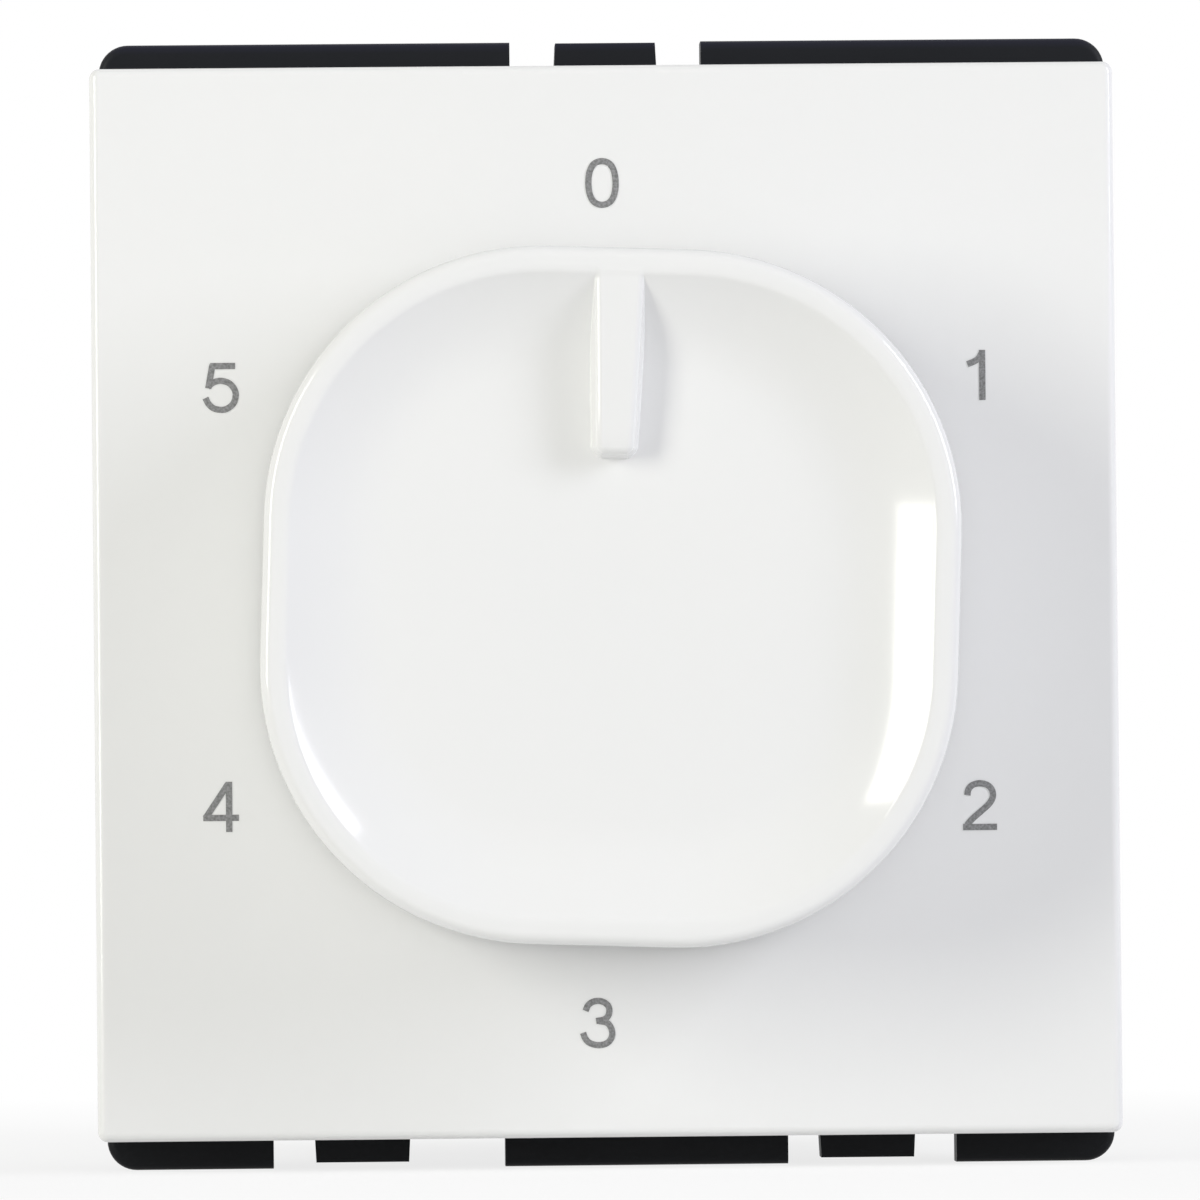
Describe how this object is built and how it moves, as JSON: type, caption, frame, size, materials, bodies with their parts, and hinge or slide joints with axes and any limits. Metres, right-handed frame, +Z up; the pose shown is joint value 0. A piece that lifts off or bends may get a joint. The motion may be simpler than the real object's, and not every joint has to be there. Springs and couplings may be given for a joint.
{
  "type": "fan speed control switch",
  "caption": "Rotary fan speed regulator for a modular wall plate: dished pointer knob with detents, white front, black snap-in carrier, rear housing with rising-cage terminals.",
  "frame": {"origin": "on the knob's axis, in the plane where the back of the carrier's flange bears on the support frame", "axes": "+X right as seen from the front, +Y into the wall, +Z up towards the digit 0"},
  "size_m": [0.045, 0.049, 0.0498],
  "materials": {
    "white_gloss": "polished white moulding",
    "black_plastic": "satin black moulding",
    "grey_plastic": "fine textured light grey moulding",
    "cream_plastic": "satin",
    "acetal": "satin",
    "laminate": "copper-clad laminate",
    "film_box": "moulded box",
    "resistor_body": "lacquered",
    "spring_steel": "bright",
    "zinc_steel": "zinc plated",
    "contact_brass": "bright rolled"
  },
  "bodies": {
    "root": {"capacitor_large": "film_box", "capacitor_small": "film_box", "carrier_frame": "black_plastic", "circuit_board": "laminate", "common_contact": "contact_brass", "detent_spring_lower": "spring_steel", "detent_spring_upper": "spring_steel", "fixed_contact_1": "contact_brass", "fixed_contact_2": "contact_brass", "fixed_contact_3": "contact_brass", "fixed_contact_4": "contact_brass", "fixed_contact_5": "contact_brass", "front_plate": "white_gloss", "housing_screw_left": "zinc_steel", "housing_screw_right": "zinc_steel", "rear_housing": "grey_plastic", "resistor_1": "resistor_body", "resistor_2": "resistor_body", "resistor_3": "resistor_body", "resistor_4": "resistor_body", "switch_base": "cream_plastic", "switch_cover": "cream_plastic", "terminal_bar_line": "contact_brass", "terminal_bar_load": "contact_brass"},
    "rotor": {"knob": "white_gloss", "knob_clip": "spring_steel", "spindle": "acetal", "moving_contact": "contact_brass"},
    "screw_line": {"terminal_screw_line": "zinc_steel"},
    "cage_line": {"terminal_cage_line": "contact_brass"},
    "screw_load": {"terminal_screw_load": "zinc_steel"},
    "cage_load": {"terminal_cage_load": "contact_brass"}
  },
  "joints": [
    {"name": "knob_turn", "type": "hinge", "parent": "root", "child": "rotor", "pos_m": [0, 0, 0], "axis": [0, 1, 0], "range_deg": [0, 300], "deforming": ["detent_spring_upper", "detent_spring_lower"]},
    {"name": "cage_line_lift", "type": "slide", "parent": "root", "child": "cage_line", "axis": [0, 1, 0], "range_m": [0, 0.003]},
    {"name": "screw_line_turn", "type": "hinge", "parent": "root", "child": "screw_line", "pos_m": [-0.0085, 0.0205, -0.014], "axis": [0, -1, 0], "range_deg": [0, 1800]},
    {"name": "cage_load_lift", "type": "slide", "parent": "root", "child": "cage_load", "axis": [0, 1, 0], "range_m": [0, 0.003]},
    {"name": "screw_load_turn", "type": "hinge", "parent": "root", "child": "screw_load", "pos_m": [0.0085, 0.0205, -0.014], "axis": [0, -1, 0], "range_deg": [0, 1800]}
  ],
  "couplings": [
    {"joint": "screw_line_turn", "follows": "cage_line_lift", "rad_per_m": 10472},
    {"joint": "screw_load_turn", "follows": "cage_load_lift", "rad_per_m": 10472}
  ]
}
